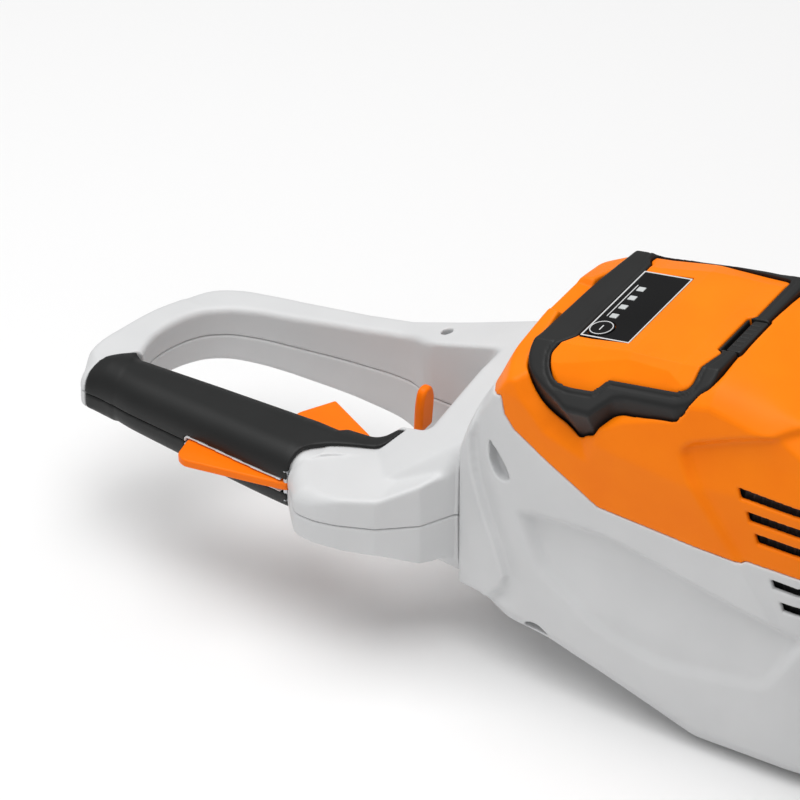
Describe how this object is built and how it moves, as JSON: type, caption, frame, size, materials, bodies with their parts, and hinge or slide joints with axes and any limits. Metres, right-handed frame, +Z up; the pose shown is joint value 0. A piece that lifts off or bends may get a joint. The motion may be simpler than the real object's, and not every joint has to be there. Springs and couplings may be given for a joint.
{
  "type": "hedge trimmer",
  "caption": "Cordless hedge trimmer with a double-sided reciprocating blade, a removable battery in a tilted bay, a front bail handle and a rear D-handle that swivels.",
  "frame": {"origin": "middle of the flat gear cover that the tool rests on", "axes": "+X along the blades to their tip, +Y to the tool's left, +Z up"},
  "size_m": [1.131, 0.24, 0.244],
  "materials": {
    "white_shell": "fine moulded texture",
    "orange_shell": "satin moulded",
    "orange_lever": "satin moulded",
    "black_shell": "satin moulded",
    "label_panel": "printed film",
    "charge_light": "clear",
    "grip_rubber": "soft touch",
    "blade_steel": "ground",
    "screw_steel": "zinc plated",
    "gear_alloy": "cast",
    "motor_winding": "wound",
    "circuit_board": "coated"
  },
  "bodies": {
    "housing": {"housing_right": "white_shell", "housing_left": "white_shell", "housing_screw_1": "screw_steel", "housing_screw_2": "screw_steel", "housing_screw_3": "screw_steel", "top_cover": "orange_shell", "swivel_ring": "black_shell", "battery_guide": "black_shell", "battery_terminal_block": "black_shell", "control_board": "circuit_board", "gear_housing": "gear_alloy", "gear_cover": "black_shell", "motor_stator": "motor_winding", "blade_guide_bar": "blade_steel", "blade_screw_1": "screw_steel", "blade_screw_2": "screw_steel", "blade_screw_3": "screw_steel", "blade_screw_4": "screw_steel", "blade_screw_5": "screw_steel", "tip_guard": "black_shell", "front_handle_frame": "black_shell", "front_handle_grip": "grip_rubber", "hand_guard": "black_shell"},
    "rear_handle": {"handle_hub": "black_shell", "handle_shell_left": "white_shell", "handle_shell_right": "white_shell", "grip_cover_left": "grip_rubber", "grip_cover_right": "grip_rubber", "handle_screw_1": "screw_steel", "handle_screw_2": "screw_steel", "handle_screw_3": "screw_steel", "trigger_pin": "screw_steel", "lock_lever_pin": "screw_steel", "trigger_switch": "black_shell"},
    "trigger": {"trigger": "orange_lever"},
    "lock_lever": {"lock_lever": "orange_lever"},
    "swivel_release": {"swivel_release_lever": "orange_lever"},
    "battery": {"battery_case": "black_shell", "battery_top_cover": "orange_shell", "battery_label_panel": "label_panel", "battery_led_strip": "charge_light"},
    "battery_latch": {"battery_release_lever": "black_shell"},
    "battery_check_button": {"battery_button": "black_shell"},
    "front_switch": {"switch_bar": "orange_lever"},
    "motor": {"motor_rotor": "blade_steel", "motor_pinion": "blade_steel", "cooling_fan": "black_shell"},
    "crank": {"crank_gear": "blade_steel", "eccentric_upper": "blade_steel", "eccentric_lower": "blade_steel", "gear_axle": "blade_steel"},
    "upper_blade": {"blade_upper": "blade_steel", "connecting_rod_upper": "blade_steel"},
    "lower_blade": {"blade_lower": "blade_steel", "connecting_rod_lower": "blade_steel"}
  },
  "joints": [
    {"name": "handle_swivel", "type": "hinge", "parent": "housing", "child": "rear_handle", "pos_m": [-0.23, 0, 0.088], "axis": [1, 0, 0], "range_deg": [-180, 0]},
    {"name": "trigger_pivot", "type": "hinge", "parent": "rear_handle", "child": "trigger", "pos_m": [-0.302, -0.047, 0.088], "axis": [0, 0, 1], "range_deg": [0, 12], "stiffness_Nm_per_rad": 0.3, "springref_deg": -20.05},
    {"name": "lock_lever_pivot", "type": "hinge", "parent": "rear_handle", "child": "lock_lever", "pos_m": [-0.323, -0.0845, 0.088], "axis": [0, 0, 1], "range_deg": [-9, 0], "stiffness_Nm_per_rad": 0.3, "springref_deg": 20.05},
    {"name": "swivel_release_slide", "type": "slide", "parent": "rear_handle", "child": "swivel_release", "axis": [-1, 0, 0], "range_m": [0, 0.005], "stiffness_N_per_m": 300, "springref_m": -0.004},
    {"name": "battery_slide", "type": "slide", "parent": "housing", "child": "battery", "axis": [-0.1994, 0, 0.9799], "range_m": [0, 0.09]},
    {"name": "battery_latch_pivot", "type": "hinge", "parent": "battery", "child": "battery_latch", "pos_m": [-0.08074, -0.008, 0.21432], "axis": [0, 1, 0], "range_deg": [-8, 0], "stiffness_Nm_per_rad": 0.2, "springref_deg": 20.05},
    {"name": "check_button_slide", "type": "slide", "parent": "battery", "child": "battery_check_button", "axis": [0.1994, 0, -0.9799], "range_m": [0, 0.0006], "stiffness_N_per_m": 400, "springref_m": -0.001},
    {"name": "front_switch_slide", "type": "slide", "parent": "housing", "child": "front_switch", "axis": [0, 0, 1], "range_m": [0, 0.005], "stiffness_N_per_m": 400, "springref_m": -0.003},
    {"name": "motor_spin", "type": "hinge", "parent": "housing", "child": "motor", "pos_m": [-0.018, 0, 0.088], "axis": [0, 0, 1], "continuous": true},
    {"name": "crank_spin", "type": "hinge", "parent": "housing", "child": "crank", "pos_m": [0.012, 0, 0.088], "axis": [0, 0, 1], "continuous": true},
    {"name": "upper_blade_slide", "type": "slide", "parent": "housing", "child": "upper_blade", "axis": [1, 0, 0], "range_m": [-0.008, 0.008]},
    {"name": "lower_blade_slide", "type": "slide", "parent": "housing", "child": "lower_blade", "axis": [1, 0, 0], "range_m": [-0.008, 0.008]}
  ],
  "couplings": [
    {"joint": "lower_blade_slide", "follows": "upper_blade_slide", "ratio": -1},
    {"joint": "crank_spin", "follows": "motor_spin", "ratio": -0.25}
  ]
}
